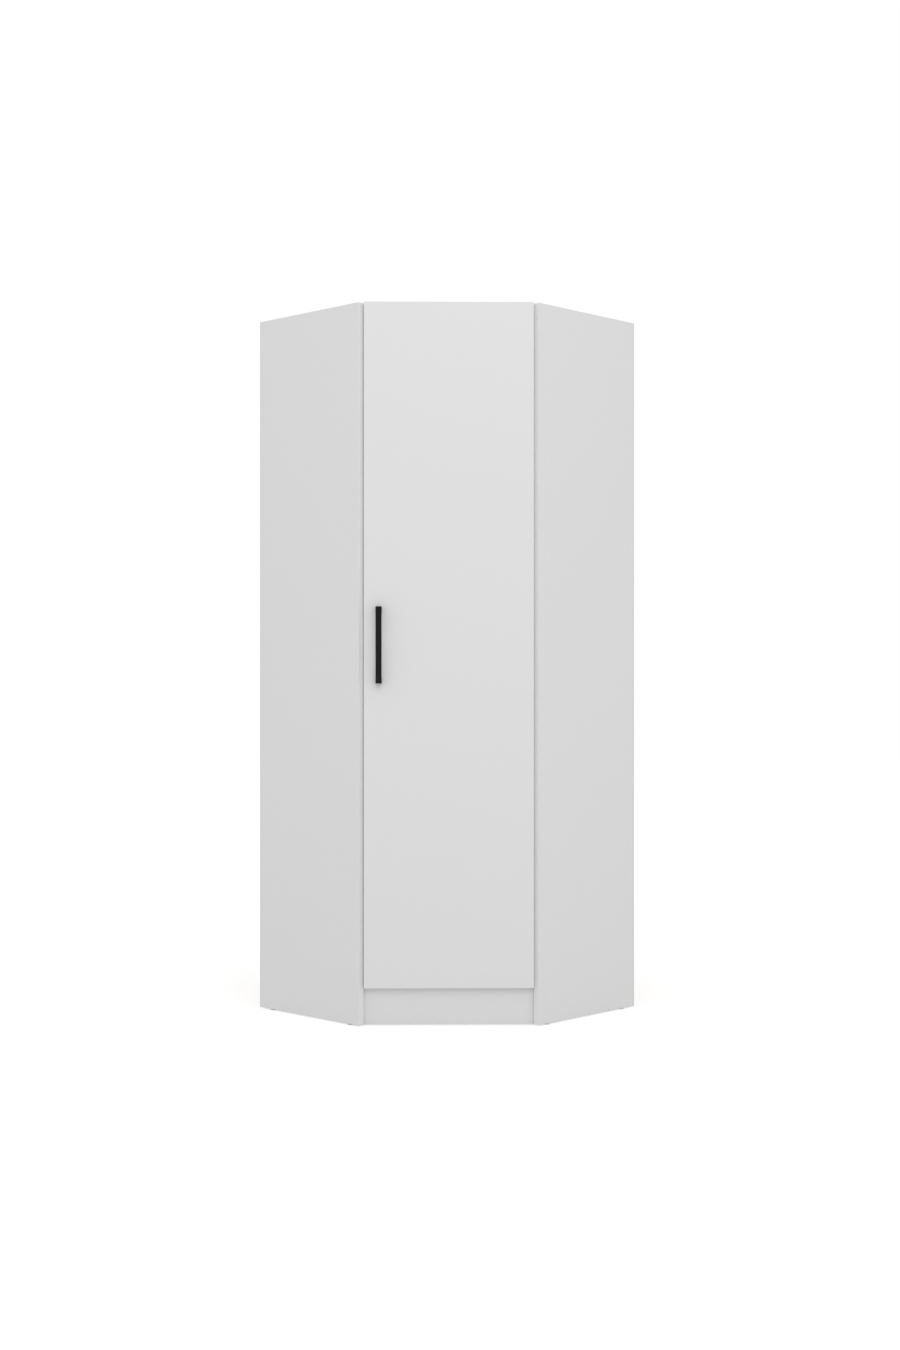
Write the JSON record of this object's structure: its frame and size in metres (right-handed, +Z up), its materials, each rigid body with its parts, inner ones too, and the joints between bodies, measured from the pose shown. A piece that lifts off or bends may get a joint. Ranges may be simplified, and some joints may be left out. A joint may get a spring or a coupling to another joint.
{
  "type": "corner wardrobe",
  "caption": "White corner wardrobe: deep side panels stand square to both walls, with one tall hinged door across the corner, a black bar handle, a hat shelf and a hanging rail.",
  "frame": {"origin": "floor point under the centre of the overall box", "axes": "+Z up; the door faces -Y; +X is to the right of someone facing the door"},
  "size_m": [0.99, 0.7906, 1.8145],
  "materials": {
    "white_board": "smooth matt white coating on particle board",
    "hardboard": "thin hardboard, white-painted face",
    "black_handle": "black powder coat",
    "zinc_steel": "zinc or nickel plated steel",
    "chromed_steel": "bright chrome",
    "white_plastic": "moulded plastic",
    "soft_buffer": "soft stick-on pad"
  },
  "bodies": {
    "case": {"side_panel_left": "white_board", "side_panel_right": "white_board", "top_panel": "white_board", "bottom_panel": "white_board", "hat_shelf": "white_board", "plinth_board": "white_board", "rear_stile": "white_board", "back_sheet_left": "hardboard", "back_sheet_right": "hardboard", "plinth_bracket_left": "zinc_steel", "plinth_bracket_right": "zinc_steel", "stile_angle_top": "zinc_steel", "stile_angle_shelf": "zinc_steel", "stile_angle_bottom": "zinc_steel", "cam_top_panel_left_front": "zinc_steel", "cam_top_panel_left_rear": "zinc_steel", "cam_top_panel_right_front": "zinc_steel", "cam_top_panel_right_rear": "zinc_steel", "cam_bottom_panel_left_front": "zinc_steel", "cam_bottom_panel_left_rear": "zinc_steel", "cam_bottom_panel_right_front": "zinc_steel", "cam_bottom_panel_right_rear": "zinc_steel", "cam_hat_shelf_left_front": "zinc_steel", "cam_hat_shelf_left_rear": "zinc_steel", "cam_hat_shelf_right_front": "zinc_steel", "cam_hat_shelf_right_rear": "zinc_steel", "glide_left_front": "white_plastic", "glide_left_rear": "white_plastic", "glide_right_front": "white_plastic", "glide_right_rear": "white_plastic", "glide_stile": "white_plastic", "hinge_arm_lower": "zinc_steel", "hinge_arm_middle": "zinc_steel", "hinge_arm_upper": "zinc_steel", "hinge_plate_lower": "zinc_steel", "hinge_plate_middle": "zinc_steel", "hinge_plate_upper": "zinc_steel", "hanging_rail": "chromed_steel", "rail_bracket_left": "chromed_steel", "rail_bracket_right": "chromed_steel", "rail_cap_left": "white_plastic", "rail_cap_right": "white_plastic", "door_buffer_top": "soft_buffer", "door_buffer_bottom": "soft_buffer"},
    "outer_links": {"hinge_outer_link_lower": "zinc_steel", "hinge_outer_link_middle": "zinc_steel", "hinge_outer_link_upper": "zinc_steel"},
    "inner_links": {"hinge_inner_link_lower": "zinc_steel", "hinge_inner_link_middle": "zinc_steel", "hinge_inner_link_upper": "zinc_steel"},
    "door": {"door_panel": "white_board", "handle": "black_handle", "handle_screw_lower": "zinc_steel", "handle_screw_upper": "zinc_steel", "hinge_cup_lower": "zinc_steel", "hinge_cup_middle": "zinc_steel", "hinge_cup_upper": "zinc_steel"}
  },
  "joints": [
    {"name": "hinge_swing", "type": "hinge", "parent": "case", "child": "outer_links", "pos_m": [0.16775, -0.34214, 0.95525], "axis": [0, 0, -1], "range_deg": [0, 35.6]},
    {"name": "door_turn", "type": "hinge", "parent": "outer_links", "child": "door", "pos_m": [0.19875, -0.35044, 0.95525], "axis": [0, 0, 1], "range_deg": [0, 130.6]},
    {"name": "inner_link_swing", "type": "hinge", "parent": "case", "child": "inner_links", "pos_m": [0.17335, -0.34554, 0.95525], "axis": [0, 0, -1], "range_deg": [0, 18.3]}
  ],
  "couplings": [
    {"joint": "door_turn", "follows": "hinge_swing", "ratio": 3.6667},
    {"joint": "inner_link_swing", "follows": "hinge_swing", "ratio": 0.512}
  ]
}
